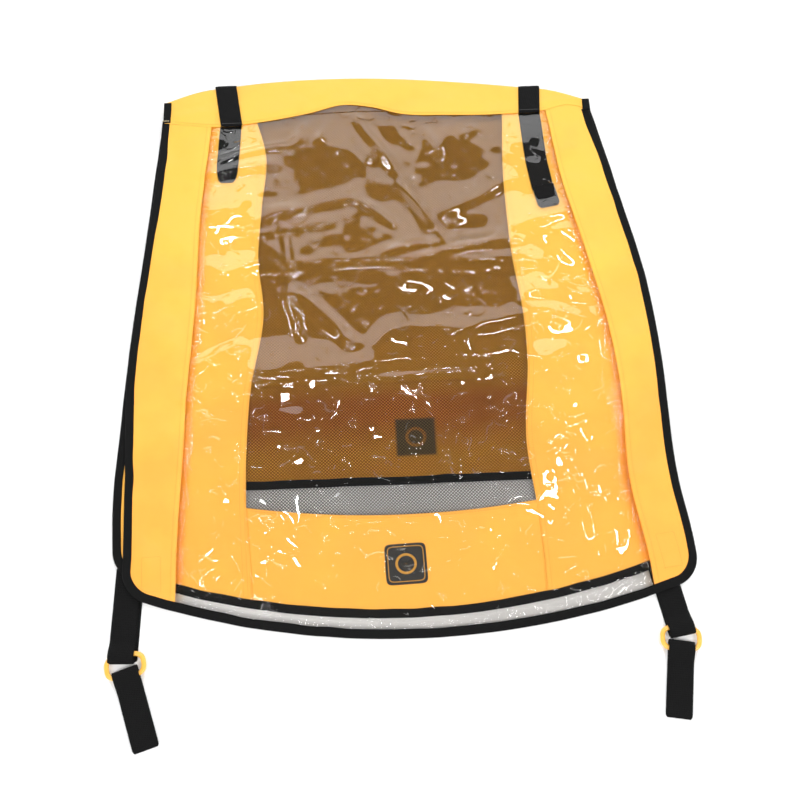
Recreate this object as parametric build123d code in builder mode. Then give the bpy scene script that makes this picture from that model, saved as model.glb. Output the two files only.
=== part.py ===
"""Soft front cover of a child bicycle trailer, lying flat and closed.

Three layers hang from one header band: a clear rain layer on top, an insect screen layer below it, and a
rear flap that is folded back underneath. The origin is on the surface that the cover lies on, below the
middle of the header seam. +X runs along the header, +Y points away from the layers, +Z is up. Left is -X.
"""

from build123d import *
import math
import os

# Front layers, in plan
seam_half_width = 255.0  # at the header seam
layer_half_width = 288.5  # where the sides run straight
flare_length = 350.0  # the sides flare over this length below the seam
rain_length = 628.0  # header seam to the middle of the rain layer's bottom edge
screen_length = 607.0  # the same for the screen layer
bottom_bow = 52.0  # how far the bottom edge bows below the ends of the sides
corner_radius = 35.0
hinge_gap = 1.5  # free stitched length between the header and each layer
seam_allowance = 10.0  # how far one panel runs under the next

# Header band
header_height = 48.0  # seam to fold, in the middle
header_corner_height = 28.0  # seam to fold, at the ends
header_corner_run = 40.0  # length over which the fold drops to the corner height
header_under = 3.0  # how far the band runs on below the fold
end_binding_length = 20.0

# Rear flap
rear_top_inset = 5.0  # the flap is this much narrower than the seam, each side
rear_half_width = 240.0  # at the flap's bottom edge
rear_length = 470.0  # header seam to the flap's bottom edge
rear_tuck = 355.0  # header seam to the tuck seam across the flap
rear_corner_radius = 30.0
rear_fold_clearance = 7.0  # radius about the fold that the flap leaves free
hem_press = 0.05  # the flap's edge is pressed thinner by its tape, from below

# Windows
rain_side_width = 54.0  # fabric border beside the clear window
mesh_half_width = 149.0
mesh_bow = 12.0  # how far the window's bottom edge bows
bottom_band_height = 106.0  # below the window, in the middle

# Cloth, tape and webbing
fabric = 0.6
vinyl = 0.5
mesh = 0.5
tape = 0.6  # binding tape
tape_width = 9.0
webbing = 1.5
webbing_width = 25.4
lie_gap = 0.3  # air between things that lie on each other
edge_clearance = 0.1  # panel edge to the inside of its binding

# Hook-and-loop patches at the bottom corners, placed from their layer's side, and from one corner
# radius above its lowest point
patch_width = 19.0
patch_length = 34.0
patch_thickness = 1.0
hook_inset = 28.5
hook_rise = 42.0
loop_inset = 31.5
loop_rise = 44.0

# Emblem patches
emblem_size = 42.0
emblem_thickness = 0.4
emblem_radius = 6.0
screen_emblem_rise = 54.0  # above the screen layer's lowest point
rear_emblem_rise = 55.0  # above the rear flap's bottom edge

# Roll-up straps
roll_strap_inset = 75.0  # from the end of the header seam
roll_strap_length = 140.0
roll_strap_hem = 28.0

# Anchor straps, rings and pull tabs
anchor_inset = 18.5  # from the layers' sides
anchor_stub_rise = 72.0  # sewn end, above the screen layer's lowest point
anchor_bend_rise = 32.0  # where the strap bends, above the rain layer's lowest point
anchor_bend_gap = 2.0  # between the sewn part and the free part
ring_bar_radius = 2.25
ring_end_clearance = 1.2  # webbing edge to where the bar turns
ring_bar_spacing = 21.0  # between the two bars' centres
ring_side_bulge = 3.0
ring_corner_radius = 3.0
ring_clearance = 0.3  # ring bar to the webbing loop round it
strap_bend_to_ring = 34.5
tab_length = 70.0  # ring bar to the tab's end
tab_lean = 13.0  # degrees inwards
loop_taper = 14.0  # length over which a loop closes to doubled webbing
webbing_corner_radius = 4.0

# Heights, from the surface upwards
rear_z = tape
screen_z = 2 * webbing + tape
strap_z = screen_z + fabric + lie_gap
rain_z = strap_z + 2 * webbing + lie_gap + vinyl
header_z = rain_z + fabric
header_top = header_z + fabric
fold_radius = (header_top - webbing) / 2
fold_z = webbing + fold_radius
fold_y = header_height - fold_radius

# Places that follow from the sizes above
edge = tape + edge_clearance
reach = 2 * rain_length
mesh_length = screen_length - bottom_band_height - mesh_bow
rear_top_half_width = seam_half_width - rear_top_inset
shoulder_x = seam_half_width - header_corner_run
roll_strap_x = seam_half_width - roll_strap_inset
anchor_x = layer_half_width - anchor_inset
anchor_stub_y = anchor_stub_rise - screen_length
anchor_bend_y = anchor_bend_rise - rain_length
stub_end_y = anchor_bend_y + anchor_bend_gap
ring_z = ring_bar_radius + ring_clearance + webbing
upper_bar_y = anchor_bend_y - strap_bend_to_ring
lower_bar_y = upper_bar_y - ring_bar_spacing
ring_mid_y = (upper_bar_y + lower_bar_y) / 2
ring_bar_half_length = webbing_width / 2 + ring_end_clearance


def layer_outline(length, inset=0.0, top=-hinge_gap):
    """Plan of a front layer, moved in by inset from its finished edge, with its upper edge at top."""
    upper = seam_half_width - inset
    side = layer_half_width - inset
    corner_y = bottom_bow - length + inset
    with BuildSketch(mode=Mode.PRIVATE) as outline:
        with BuildLine():
            Line((-side, corner_y), (-side, -flare_length))
            TangentArc((-side, -flare_length), (-upper, -hinge_gap), tangent=(0, 1))
            Line((side, corner_y), (side, -flare_length))
            TangentArc((side, -flare_length), (upper, -hinge_gap), tangent=(0, 1))
            if top > -hinge_gap:
                Line((-upper, -hinge_gap), (-upper, top))
                Line((upper, -hinge_gap), (upper, top))
            Line((-upper, top), (upper, top))
            ThreePointArc((-side, corner_y), (0, inset - length), (side, corner_y))
        make_face()
        fillet(outline.vertices().group_by(Axis.Y)[0], corner_radius - inset)
    return outline.sketch


def clear_outline(side_width):
    """Plan of the area inside a border of side_width along both sides, open past the bottom."""
    upper = seam_half_width - side_width
    side = layer_half_width - side_width
    with BuildSketch(mode=Mode.PRIVATE) as outline:
        with BuildLine():
            Line((-side, -reach), (-side, -flare_length))
            TangentArc((-side, -flare_length), (-upper, -hinge_gap), tangent=(0, 1))
            Line((-upper, -hinge_gap), (upper, -hinge_gap))
            TangentArc((side, -flare_length), (upper, -hinge_gap), tangent=(0, 1))
            Line((side, -flare_length), (side, -reach))
            Line((side, -reach), (-side, -reach))
        make_face()
    return outline.sketch


def mesh_outline(grow=0.0):
    """Plan of the screen's window, with its sides and bottom moved out by grow."""
    half = mesh_half_width + grow
    bottom = mesh_length + grow
    with BuildSketch(mode=Mode.PRIVATE) as outline:
        with BuildLine():
            Polyline((-half, -bottom), (-half, -hinge_gap), (half, -hinge_gap), (half, -bottom))
            ThreePointArc((half, -bottom), (0, -bottom - mesh_bow), (-half, -bottom))
        make_face()
    return outline.sketch


def rear_outline(inset=0.0, shoulders=True):
    """Plan of the rear flap. Its shoulders follow the header's corners, or else its sides run straight up."""
    top = fold_y - rear_fold_clearance
    side_top = top - header_height + header_corner_height
    upper = rear_top_half_width - inset
    lower = rear_half_width - inset
    top_corner = shoulder_x if shoulders else upper
    with BuildSketch(mode=Mode.PRIVATE) as outline:
        with BuildLine():
            Polyline((-lower, inset - rear_length), (-upper, side_top), (-top_corner, top))
            Line((-top_corner, top), (top_corner, top))
            Polyline((top_corner, top), (upper, side_top), (lower, inset - rear_length))
            Line((lower, inset - rear_length), (-lower, inset - rear_length))
        make_face()
        fillet(outline.vertices().group_by(Axis.Y)[0], rear_corner_radius - inset)
    return outline.sketch


def wrap_profile(inner_radius, thickness, centre_y):
    """Section, in Y and Z, of cloth that runs from the header seam round a fold and a little way back."""
    outer_radius = inner_radius + thickness
    under_y = centre_y - header_under
    top_inner = fold_z + inner_radius
    top_outer = fold_z + outer_radius
    low_inner = fold_z - inner_radius
    low_outer = fold_z - outer_radius
    with BuildSketch(mode=Mode.PRIVATE) as profile:
        with BuildLine():
            Polyline((centre_y, top_inner), (0, top_inner), (0, top_outer), (centre_y, top_outer))
            ThreePointArc((centre_y, top_outer), (centre_y + outer_radius, fold_z), (centre_y, low_outer))
            Polyline((centre_y, low_outer), (under_y, low_outer), (under_y, low_inner), (centre_y, low_inner))
            ThreePointArc((centre_y, low_inner), (centre_y + inner_radius, fold_z), (centre_y, top_inner))
        make_face()
    return profile.sketch


def loop_profile(tail_length):
    """Section, in Y and Z, of doubled webbing that lies flat and opens into a loop round the origin.

    The tail runs towards +Y for tail_length and rests on the same surface as the loop.
    """
    inner = ring_bar_radius + ring_clearance
    outer = inner + webbing
    with BuildSketch(mode=Mode.PRIVATE) as profile:
        Circle(outer)
        with BuildLine():
            Polyline(
                (0, outer),
                (loop_taper, 2 * webbing - outer),
                (tail_length, 2 * webbing - outer),
                (tail_length, -outer),
                (0, -outer),
                (0, outer),
            )
        make_face()
        Circle(inner, mode=Mode.SUBTRACT)
    return profile.sketch


def side_mask(side):
    """Half plane on one side of the middle, as a large rectangle."""
    with BuildSketch(mode=Mode.PRIVATE) as mask:
        with Locations((side * reach / 2, -reach / 2)):
            Rectangle(reach, 2 * reach)
    return mask.sketch


def strip_mask(half_width):
    """Vertical strip about the middle."""
    with BuildSketch(mode=Mode.PRIVATE) as mask:
        with Locations((0, -reach / 2)):
            Rectangle(2 * half_width, 2 * reach)
    return mask.sketch


def save(builder, name):
    """Label a finished piece and write it."""
    builder.part.label = name
    export_step(builder.part, f"parts/{name}.step")


def edge_binding(outer, slot, inner, slot_z, slot_height):
    """Folded tape: a channel along outer, with a slot for the panel's edge, open inside inner."""
    with BuildPart() as binding:
        with BuildSketch(Plane.XY.offset(slot_z - tape)):
            add(outer)
            add(inner, mode=Mode.SUBTRACT)
        extrude(amount=slot_height + 2 * tape)
        with BuildSketch(Plane.XY.offset(slot_z)):
            add(slot)
        extrude(amount=slot_height, mode=Mode.SUBTRACT)
    return binding


os.makedirs("parts", exist_ok=True)
sides = ((-1, "left"), (1, "right"))

# Header band: an upper leaf, the fold and a short lower leaf, with its ends tapered
header_end = seam_half_width - edge
corner_fold_y = fold_y - header_height + header_corner_height
with BuildPart() as header_band:
    for x, centre_y in (
        (-header_end, corner_fold_y),
        (-shoulder_x, fold_y),
        (shoulder_x, fold_y),
        (header_end, corner_fold_y),
    ):
        with BuildSketch(Plane.YZ.offset(x)):
            add(wrap_profile(fold_radius - fabric, fabric, centre_y))
    loft(ruled=True)
save(header_band, "header_band")

for side, hand in sides:
    # Tape folded over the end of the header's upper leaf
    with BuildPart() as end_binding:
        with BuildSketch(Plane.XY.offset(header_z - tape)):
            with Locations((side * (seam_half_width - tape_width / 2), end_binding_length / 2)):
                Rectangle(tape_width, end_binding_length)
        extrude(amount=fabric + 2 * tape)
        with BuildSketch(Plane.XY.offset(header_z)):
            with Locations((side * (seam_half_width - tape_width / 2 - tape), end_binding_length / 2)):
                Rectangle(tape_width, end_binding_length)
        extrude(amount=fabric, mode=Mode.SUBTRACT)
    save(end_binding, f"header_end_binding_{hand}")

    # Roll-up strap: the part sewn over the header, and the free end between the two front layers
    with BuildPart() as strap_base:
        with BuildSketch(Plane.YZ.offset(side * roll_strap_x)):
            add(wrap_profile(fold_radius, webbing, fold_y))
        extrude(amount=webbing_width / 2, both=True)
    save(strap_base, f"roll_strap_base_{hand}")

    with BuildPart() as strap_end:
        with BuildSketch(Plane.XY.offset(strap_z)) as strip:
            with Locations((side * roll_strap_x, -(hinge_gap + roll_strap_length) / 2)):
                Rectangle(webbing_width, roll_strap_length - hinge_gap)
            fillet(strip.vertices().group_by(Axis.Y)[0], webbing_corner_radius)
        extrude(amount=webbing)
        with BuildSketch(Plane.XY.offset(strap_z + webbing)) as hem:
            with Locations((side * roll_strap_x, roll_strap_hem / 2 - roll_strap_length)):
                Rectangle(webbing_width, roll_strap_hem)
            fillet(hem.vertices().group_by(Axis.Y)[0], webbing_corner_radius)
        extrude(amount=webbing)
    save(strap_end, f"roll_strap_end_{hand}")

# Rear flap: two panels that meet at the tuck seam, and their binding
rear_sheet = rear_outline(edge)
for name, low, high in (
    ("rear_panel", -rear_tuck, fold_y),
    ("rear_lower_panel", -rear_length, -rear_tuck),
):
    with BuildPart() as panel:
        with BuildSketch(Plane.XY.offset(rear_z)):
            add(rear_sheet)
            with Locations((0, (low + high) / 2)):
                Rectangle(2 * reach, high - low, mode=Mode.INTERSECT)
        extrude(amount=fabric)
        with BuildSketch(Plane.XY.offset(rear_z)):
            add(rear_outline())
            add(rear_outline(tape_width + edge_clearance, shoulders=False), mode=Mode.SUBTRACT)
        extrude(amount=hem_press, mode=Mode.SUBTRACT)
    save(panel, name)

rear_binding = edge_binding(
    rear_outline(),
    rear_outline(tape, shoulders=False),
    rear_outline(tape_width, shoulders=False),
    rear_z,
    fabric,
)
save(rear_binding, "rear_binding")

# Screen layer: mesh window below two side panels and a bottom band, all bound with tape
with BuildPart() as screen_mesh:
    with BuildSketch(Plane.XY.offset(screen_z - mesh)):
        add(mesh_outline(seam_allowance))
    extrude(amount=mesh)
save(screen_mesh, "screen_mesh")

screen_sheet = layer_outline(screen_length, edge)
with BuildPart() as bottom_band:
    with BuildSketch(Plane.XY.offset(screen_z)):
        add(screen_sheet)
        add(strip_mask(mesh_half_width), mode=Mode.INTERSECT)
        add(mesh_outline(), mode=Mode.SUBTRACT)
    extrude(amount=fabric)
save(bottom_band, "screen_bottom_band")

screen_binding = edge_binding(
    layer_outline(screen_length),
    layer_outline(screen_length, tape, top=hinge_gap),
    layer_outline(screen_length, tape_width, top=hinge_gap),
    screen_z,
    fabric,
)
save(screen_binding, "screen_binding")

# Rain layer: clear window below two side panels, bound with tape
rain_sheet = layer_outline(rain_length, edge)
with BuildPart() as rain_window:
    with BuildSketch(Plane.XY.offset(rain_z - vinyl)):
        add(rain_sheet)
        add(clear_outline(rain_side_width - seam_allowance), mode=Mode.INTERSECT)
    extrude(amount=vinyl)
save(rain_window, "rain_window")

rain_binding = edge_binding(
    layer_outline(rain_length),
    layer_outline(rain_length, tape, top=hinge_gap),
    layer_outline(rain_length, tape_width, top=hinge_gap),
    rain_z - vinyl,
    vinyl + fabric,
)
save(rain_binding, "rain_binding")

# Emblem patches: on the screen's bottom band, and on the underside of the rear flap
for name, y, base_z in (
    ("screen_emblem", screen_emblem_rise - screen_length, screen_z + fabric),
    ("rear_emblem", rear_emblem_rise - rear_length, rear_z - emblem_thickness),
):
    with BuildPart() as emblem:
        with BuildSketch(Plane.XY.offset(base_z)):
            with Locations((0, y)):
                RectangleRounded(emblem_size, emblem_size, emblem_radius)
        extrude(amount=emblem_thickness)
    save(emblem, name)

for side, hand in sides:
    mask = side_mask(side)

    with BuildPart() as screen_side:
        with BuildSketch(Plane.XY.offset(screen_z)):
            add(screen_sheet)
            add(strip_mask(mesh_half_width), mode=Mode.SUBTRACT)
            add(mask, mode=Mode.INTERSECT)
        extrude(amount=fabric)
    save(screen_side, f"screen_side_panel_{hand}")

    with BuildPart() as rain_side:
        with BuildSketch(Plane.XY.offset(rain_z)):
            add(rain_sheet)
            add(clear_outline(rain_side_width), mode=Mode.SUBTRACT)
            add(mask, mode=Mode.INTERSECT)
        extrude(amount=fabric)
    save(rain_side, f"rain_side_panel_{hand}")

    # Hook patch below the rain layer's corner, loop patch on the screen layer's corner
    for name, inset, y, base_z in (
        (f"hook_patch_{hand}", hook_inset, hook_rise + corner_radius - rain_length, rain_z - patch_thickness),
        (f"loop_patch_{hand}", loop_inset, loop_rise + corner_radius - screen_length, screen_z + fabric),
    ):
        with BuildPart() as patch:
            with BuildSketch(Plane.XY.offset(base_z)):
                with Locations((side * (layer_half_width - inset), y)):
                    Rectangle(patch_width, patch_length)
            extrude(amount=patch_thickness)
        save(patch, name)

    # Anchor strap: a doubled end sewn below the screen's corner, then the free part that holds the ring
    with BuildPart() as stub:
        with BuildSketch(Plane.XY):
            with Locations((side * anchor_x, (anchor_stub_y + stub_end_y) / 2)):
                Rectangle(webbing_width, anchor_stub_y - stub_end_y)
        extrude(amount=2 * webbing)
    save(stub, f"anchor_stub_{hand}")

    with BuildPart() as anchor_strap:
        with BuildSketch(Plane((side * anchor_x, upper_bar_y, ring_z), x_dir=(0, 1, 0), z_dir=(1, 0, 0))):
            add(loop_profile(strap_bend_to_ring))
        extrude(amount=webbing_width / 2, both=True)
    save(anchor_strap, f"anchor_strap_{hand}")

    # Ring: two straight bars for the webbing, joined by bulging sides
    with BuildPart() as ring:
        with BuildSketch(Plane((side * anchor_x, ring_mid_y, ring_z)), mode=Mode.PRIVATE) as ring_plan:
            bar_y = ring_bar_spacing / 2
            end_x = ring_bar_half_length
            bulge_x = ring_bar_half_length + ring_side_bulge
            with BuildLine():
                Line((-end_x, bar_y), (end_x, bar_y))
                ThreePointArc((end_x, bar_y), (bulge_x, 0), (end_x, -bar_y))
                Line((end_x, -bar_y), (-end_x, -bar_y))
                ThreePointArc((-end_x, -bar_y), (-bulge_x, 0), (-end_x, bar_y))
            make_face()
            fillet(ring_plan.vertices(), ring_corner_radius)
        path = ring_plan.sketch.face().outer_wire()
        with BuildSketch(Plane(origin=path @ 0, z_dir=path % 0)):
            Circle(ring_bar_radius)
        sweep(path=path)
    save(ring, f"strap_ring_{hand}")

    # Pull tab: a loop round the ring's lower bar, and a doubled tail that leans inwards
    half = webbing_width / 2
    tail_x = side * anchor_x
    tail_end_x = tail_x - side * (tab_length - loop_taper) * math.tan(math.radians(tab_lean))
    tail_start_y = lower_bar_y - loop_taper
    tail_end_y = lower_bar_y - tab_length
    with BuildPart() as pull_tab:
        with BuildSketch(Plane((side * anchor_x, lower_bar_y, ring_z), x_dir=(0, -1, 0), z_dir=(-1, 0, 0))):
            add(loop_profile(loop_taper + hinge_gap))
        extrude(amount=half, both=True)
        with BuildSketch(Plane.XY):
            with BuildLine():
                Line((tail_x - half, tail_start_y), (tail_x + half, tail_start_y))
                Line((tail_x + half, tail_start_y), (tail_end_x + half, tail_end_y))
                Line((tail_end_x + half, tail_end_y), (tail_end_x - half, tail_end_y))
                Line((tail_end_x - half, tail_end_y), (tail_x - half, tail_start_y))
            make_face()
        extrude(amount=2 * webbing)
    save(pull_tab, f"pull_tab_{hand}")
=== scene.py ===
"""Looks of a trailer's soft cover: a clear rain layer over an insect screen, laid flat on a pale floor.

Lengths in this file are millimetres until add_mesh turns them into metres. Left is the side at -X.
"""
import math

import bpy
import numpy as np
from mathutils import Matrix, Vector


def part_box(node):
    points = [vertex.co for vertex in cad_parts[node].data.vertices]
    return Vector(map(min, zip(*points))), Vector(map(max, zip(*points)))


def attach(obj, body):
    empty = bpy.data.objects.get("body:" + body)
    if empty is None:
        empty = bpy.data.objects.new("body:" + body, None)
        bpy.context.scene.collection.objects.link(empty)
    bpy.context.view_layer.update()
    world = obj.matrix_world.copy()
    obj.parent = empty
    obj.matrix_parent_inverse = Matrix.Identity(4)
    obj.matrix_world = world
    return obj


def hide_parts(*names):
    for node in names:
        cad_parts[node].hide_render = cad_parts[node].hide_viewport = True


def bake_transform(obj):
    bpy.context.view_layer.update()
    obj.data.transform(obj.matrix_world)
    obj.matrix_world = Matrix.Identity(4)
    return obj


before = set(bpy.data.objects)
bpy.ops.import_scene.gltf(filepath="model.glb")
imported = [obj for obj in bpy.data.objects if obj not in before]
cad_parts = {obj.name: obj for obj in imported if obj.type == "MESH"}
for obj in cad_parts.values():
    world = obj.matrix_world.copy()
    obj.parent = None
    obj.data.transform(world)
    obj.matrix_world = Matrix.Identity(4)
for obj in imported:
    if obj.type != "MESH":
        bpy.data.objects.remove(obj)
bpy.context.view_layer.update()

MM = 0.001
SIDES = ((-1, "left"), (1, "right"))


def cad(node):
    """Lowest and highest corner of a CAD node, in millimetres."""
    low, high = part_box(node)
    return np.array(low) / MM, np.array(high) / MM


# Sizes taken from the frame
rain_low, rain_high = cad("rain_binding")
rear_low, rear_high = cad("rear_binding")
header_low, header_high = cad("header_band")
strap_low, strap_high = cad("roll_strap_base_left")
full_half = rain_high[0]
rain_length = -rain_low[1]
screen_length = -cad("screen_binding")[0][1]
rear_length = -rear_low[1]
seam_half = cad("header_end_binding_right")[1][0]
tuck_y = cad("rear_lower_panel")[1][1]
mesh_half = cad("screen_side_panel_right")[0][0]
mesh_bottom = cad("screen_bottom_band")[1][1]
leaf_z = header_high[2]
fold_z = (header_low[2] + leaf_z) / 2
webbing_width = strap_high[0] - strap_low[0]
ring_z = sum(cad("strap_ring_left"))[2] / 2
bend_y = cad("anchor_strap_left")[1][1]

# Sizes of the cut and the sewing
flare_length = 350.0
bottom_bow = 52.0
bow_radius = (full_half**2 + bottom_bow**2) / (2 * bottom_bow)
corner_radius = 35.0
mesh_bow = 12.0
film_top = 3.0
thickness = {"cloth": 0.5, "film": 0.35, "mesh": 0.35, "webbing": 1.5}


# ---------------------------------------------------------------- curves and heights


def smooth(t):
    t = np.clip(t, 0.0, 1.0)
    return t * t * (3 - 2 * t)


def through(knots):
    """Smooth function through (place, value) knots, in rising order of place, flat past both ends."""
    at = np.array([k[0] for k in knots], float)
    value = np.array([k[1] for k in knots], float)
    slope = np.gradient(value, at)

    def f(q):
        q = np.clip(np.asarray(q, float), at[0], at[-1])
        i = np.clip(np.searchsorted(at, q) - 1, 0, len(at) - 2)
        h = at[i + 1] - at[i]
        t = (q - at[i]) / h
        a = value[i] * (1 + 2 * t) * (1 - t) ** 2 + value[i + 1] * t * t * (3 - 2 * t)
        return a + h * t * (1 - t) * (slope[i] * (1 - t) - slope[i + 1] * t)

    return f


def noise(x, y, cell, seed):
    """Smooth noise between -1 and 1 with features about cell wide."""
    table = np.random.default_rng(seed).uniform(-1, 1, (64, 64))
    u, v = np.asarray(x) / cell + 31.7, np.asarray(y) / cell + 29.3
    i, j = np.floor(u).astype(int), np.floor(v).astype(int)
    s, t = smooth(u - i), smooth(v - j)

    def pick(a, b):
        return table[a % 64, b % 64]

    upper = pick(i, j) * (1 - s) + pick(i + 1, j) * s
    lower = pick(i, j + 1) * (1 - s) + pick(i + 1, j + 1) * s
    return upper * (1 - t) + lower * t


def side_x(y):
    """Half width of a front layer at y: it flares from the seam and then runs straight."""
    flare = full_half - seam_half
    radius = (flare_length**2 + flare**2) / (2 * flare)
    up = np.clip(np.asarray(y, float) + flare_length, 0, flare_length)
    return full_half - radius + np.sqrt(radius**2 - up**2)


def layer_edge(length):
    """Outline of a front layer as plan points, from its upper left corner round to the upper right."""
    bow_y = bow_radius - length
    centre_x = full_half - corner_radius
    centre_y = bow_y - math.sqrt((bow_radius - corner_radius) ** 2 - centre_x**2)
    bow_start = math.atan2(centre_y - bow_y, centre_x)
    y = np.linspace(0.0, centre_y, 180)
    right = np.column_stack([side_x(y), y])
    turn = np.linspace(0, bow_start, 24)[1:]
    corner = np.array([centre_x, centre_y]) + corner_radius * np.column_stack([np.cos(turn), np.sin(turn)])
    sweep = np.linspace(bow_start, -math.pi - bow_start, 200)[1:-1]
    bottom = np.column_stack([bow_radius * np.cos(sweep), bow_y + bow_radius * np.sin(sweep)])
    mirror = np.array([-1.0, 1.0])
    half = np.vstack([right, corner])
    return np.vstack([half * mirror, bottom[::-1], half[::-1]]), centre_y


def stretch_of(line, start, end):
    """The stretch of a polyline between the points nearest to start and end, as a function of 0 to 1."""
    a = int(np.argmin(((line - start) ** 2).sum(1)))
    b = int(np.argmin(((line - end) ** 2).sum(1)))
    part = line[a : b + 1] if a <= b else line[b : a + 1][::-1]
    along = np.concatenate([[0], np.cumsum(np.hypot(*np.diff(part, axis=0).T))])
    along /= along[-1]
    return lambda t: np.column_stack([np.interp(t, along, part[:, 0]), np.interp(t, along, part[:, 1])])


def inset(edge, distance=1.7):
    """An outline moved inwards, so that the cloth ends inside its tape."""
    ahead = directions(edge)
    return edge + distance * np.column_stack([-ahead[:, 1], ahead[:, 0]])


def straight(start, end):
    start, end = np.array(start, float), np.array(end, float)
    return lambda t: start + np.outer(t, end - start)


def curve_x(x_of_y, top, bottom):
    """Edge that runs from y top to y bottom, with x a function of y."""
    return lambda t: np.column_stack([x_of_y(top + (bottom - top) * t), top + (bottom - top) * np.asarray(t)])


def between(top, bottom, left, right, step=4.0):
    """Grid of plan points filling the space between four edge curves."""
    t = np.linspace(0, 1, 60)
    across = max(np.hypot(*np.diff(c(t), axis=0).T).sum() for c in (top, bottom))
    down = max(np.hypot(*np.diff(c(t), axis=0).T).sum() for c in (left, right))
    u, v = np.linspace(0, 1, int(across / step) + 2), np.linspace(0, 1, int(down / step) + 2)
    s, w = u[None, :, None], v[:, None, None]
    up, low, near, far = top(u)[None], bottom(u)[None], left(v)[:, None], right(v)[:, None]
    corners = (1 - s) * (1 - w) * up[:, :1] + s * (1 - w) * up[:, -1:]
    corners = corners + (1 - s) * w * low[:, :1] + s * w * low[:, -1:]
    return (1 - w) * up + w * low + (1 - s) * near + s * far - corners


def reverse(curve):
    return lambda t: curve(1 - np.asarray(t))


def at(height, plan):
    """Heights of plan points."""
    return height(plan[..., 0], plan[..., 1])


# How the laid cloth wanders from its flat pattern, as shifts in X down each side
rain_shift_left = through([(-600, 6), (-460, 3.5), (-350, 0.5), (-300, 2), (-180, 6), (-70, 4), (0, -4)])
rain_shift_right = through(
    [(-600, 7), (-545, 6.5), (-466, -0.5), (-350, 2.5), (-250, 3), (-100, -4), (0, -5)]
)
screen_shift_left = through(
    [(-600, -3), (-540, -6), (-490, -8.5), (-380, -3.5), (-300, 1), (-180, 5), (0, -3)]
)
screen_shift_right = through([(-600, -10), (-400, -8), (-200, -3), (0, -2)])
window_left = through([(-490, -2), (-355, -3), (-268, 7), (-190, -1), (-127, 4), (-50, 13), (6, 3)])
window_right = through([(-492, -1), (-425, -6), (-326, 2), (-278, 1), (-195, -7), (-117, -8), (6, 0)])
border_left = through([(-620, 52), (-500, 56), (-400, 63), (-290, 67), (-100, 57), (0, 58)])
border_right = through([(-620, 46), (-500, 52), (-380, 49), (-285, 54), (-210, 60), (-80, 60), (0, 52)])
seam_y = through(
    [(-255, -1), (-189, -9), (-161, -7), (-84, 5), (-42, 15), (-9, 10), (24, -1), (80, -6), (151, -8),
     (199, -5), (227, 1), (255, -9)]
)
fold_line = through(
    [(-258, 28), (-215, 43), (-180, 48), (-20, 53), (90, 42), (170, 30), (205, 24), (258, 3)]
)


def shifted(plan, left, right, tilt):
    """Plan points moved sideways by their side's shift, and tilted about the seam."""
    x, y = plan[..., 0], plan[..., 1]
    share = smooth((x + full_half) / (2 * full_half))
    depth = smooth(-y / 500.0)
    return np.stack([x + left(y) * (1 - share) + right(y) * share, y - tilt * x * depth], -1)


def rain_place(plan):
    return shifted(plan, rain_shift_left, rain_shift_right, 0.018)


def screen_place(plan):
    return shifted(plan, screen_shift_left, screen_shift_right, 0.022)


def rear_place(plan):
    """The rear flap lies turned a little, its lower edge towards +X."""
    x, y = plan[..., 0], plan[..., 1]
    depth = smooth(-y / 420.0)
    return np.stack([x + 16 * depth, np.minimum(y + 2 - 0.012 * x * depth, fold_line(x) - 3.0)], -1)


def crease(x, y, start, end, width, height, lean=0.0):
    """Ridge along a line, fading at both ends. A lean above 0 makes its lower side the steeper one."""
    (ax, ay), (bx, by) = start, end
    length = math.hypot(bx - ax, by - ay)
    ux, uy = (bx - ax) / length, (by - ay) / length
    along = (x - ax) * ux + (y - ay) * uy
    off = (x - ax) * uy - (y - ay) * ux
    off = off + 0.06 * length * np.sin(math.pi * np.clip(along / length, 0, 1)) * noise(x, y, 400, 7)
    reach = 1.5 * width * (1 - lean * np.sign(off) * (1 if ux > 0 else -1))
    end_fade = smooth(along / (0.22 * length) + 0.4) * smooth((length - along) / (0.22 * length) + 0.4)
    slope = 1.0 - np.sqrt((off / reach) ** 2 + 0.012)
    return height * 0.5 * (slope + np.sqrt(slope**2 + 0.004)) * end_fade


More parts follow.
